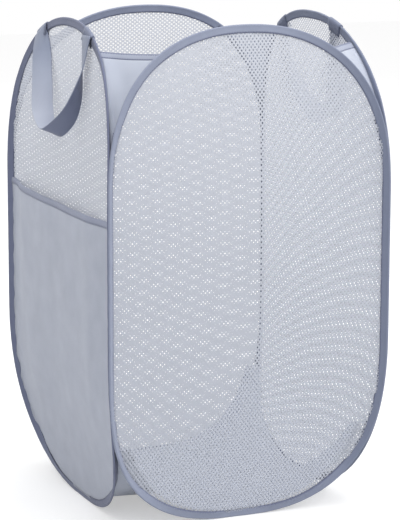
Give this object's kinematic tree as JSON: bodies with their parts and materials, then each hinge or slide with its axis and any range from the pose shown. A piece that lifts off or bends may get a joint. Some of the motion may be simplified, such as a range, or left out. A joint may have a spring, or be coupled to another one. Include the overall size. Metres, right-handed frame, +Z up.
{
  "type": "pop up laundry hamper",
  "caption": "Square pop up laundry hamper of sprung wire loops with net walls, cloth base and corner webs, side pocket and webbing handles; racks flat.",
  "frame": {"origin": "on the floor under the middle of the hamper", "axes": "+Z up, +Y from the front panel to the back panel, +X from the panel with the pocket to the panel opposite"},
  "size_m": [0.4168, 0.3616, 0.585],
  "materials": {
    "edge_tape": "matt blue-grey binding tape",
    "net": "matt pale blue-grey open net",
    "cloth": "matt blue-grey woven polyester cloth",
    "webbing": "matt blue-grey webbing",
    "spring_steel": "bright flat spring wire"
  },
  "bodies": {
    "front_panel": {"front_wire_loop": "spring_steel", "front_wire_ferrule": "spring_steel", "front_edge_tape": "edge_tape", "front_net": "net", "front_left_seam": "edge_tape", "front_right_seam": "edge_tape", "front_left_top_web": "cloth", "front_left_top_hem": "edge_tape", "front_right_top_web": "cloth", "front_right_top_hem": "edge_tape", "base_cloth": "cloth"},
    "left_panel": {"left_wire_loop": "spring_steel", "left_wire_ferrule": "spring_steel", "left_edge_tape": "edge_tape", "left_net": "net", "left_strap_anchor_a": "webbing", "left_strap_anchor_b": "webbing", "side_pocket": "cloth", "pocket_mouth_tape": "edge_tape"},
    "right_panel": {"right_wire_loop": "spring_steel", "right_wire_ferrule": "spring_steel", "right_edge_tape": "edge_tape", "right_net": "net", "right_strap_anchor_a": "webbing", "right_strap_anchor_b": "webbing"},
    "back_panel": {"back_wire_loop": "spring_steel", "back_wire_ferrule": "spring_steel", "back_edge_tape": "edge_tape", "back_net": "net", "back_left_seam": "edge_tape", "back_right_seam": "edge_tape", "back_right_top_web": "cloth", "back_right_top_hem": "edge_tape", "back_left_top_web": "cloth", "back_left_top_hem": "edge_tape"},
    "left_handle": {"left_handle_strap": "webbing"},
    "right_handle": {"right_handle_strap": "webbing"}
  },
  "joints": [
    {"name": "left_fold", "type": "hinge", "parent": "front_panel", "child": "left_panel", "pos_m": [-0.1749, -0.1749, 0], "axis": [0, 0, -1], "range_deg": [0, 88], "deforming": ["front_left_top_web", "front_left_top_hem", "base_cloth"]},
    {"name": "right_fold", "type": "hinge", "parent": "front_panel", "child": "right_panel", "pos_m": [0.178, -0.178, 0], "axis": [0, 0, -1], "range_deg": [0, 88], "deforming": ["front_right_top_web", "front_right_top_hem"]},
    {"name": "back_fold", "type": "hinge", "parent": "left_panel", "child": "back_panel", "pos_m": [-0.178, 0.178, 0], "axis": [0, 0, -1], "range_deg": [-88, 0], "deforming": ["back_left_top_web", "back_left_top_hem", "back_right_top_web", "back_right_top_hem"]},
    {"name": "left_handle_swing", "type": "hinge", "parent": "left_panel", "child": "left_handle", "pos_m": [-0.178, 0, 0.5804], "axis": [0, 1, 0], "range_deg": [0, 180]},
    {"name": "right_handle_swing", "type": "hinge", "parent": "right_panel", "child": "right_handle", "pos_m": [0.178, 0, 0.5804], "axis": [0, -1, 0], "range_deg": [0, 180]}
  ],
  "couplings": [
    {"joint": "right_fold", "follows": "left_fold", "ratio": 1},
    {"joint": "back_fold", "follows": "left_fold", "ratio": -1}
  ]
}
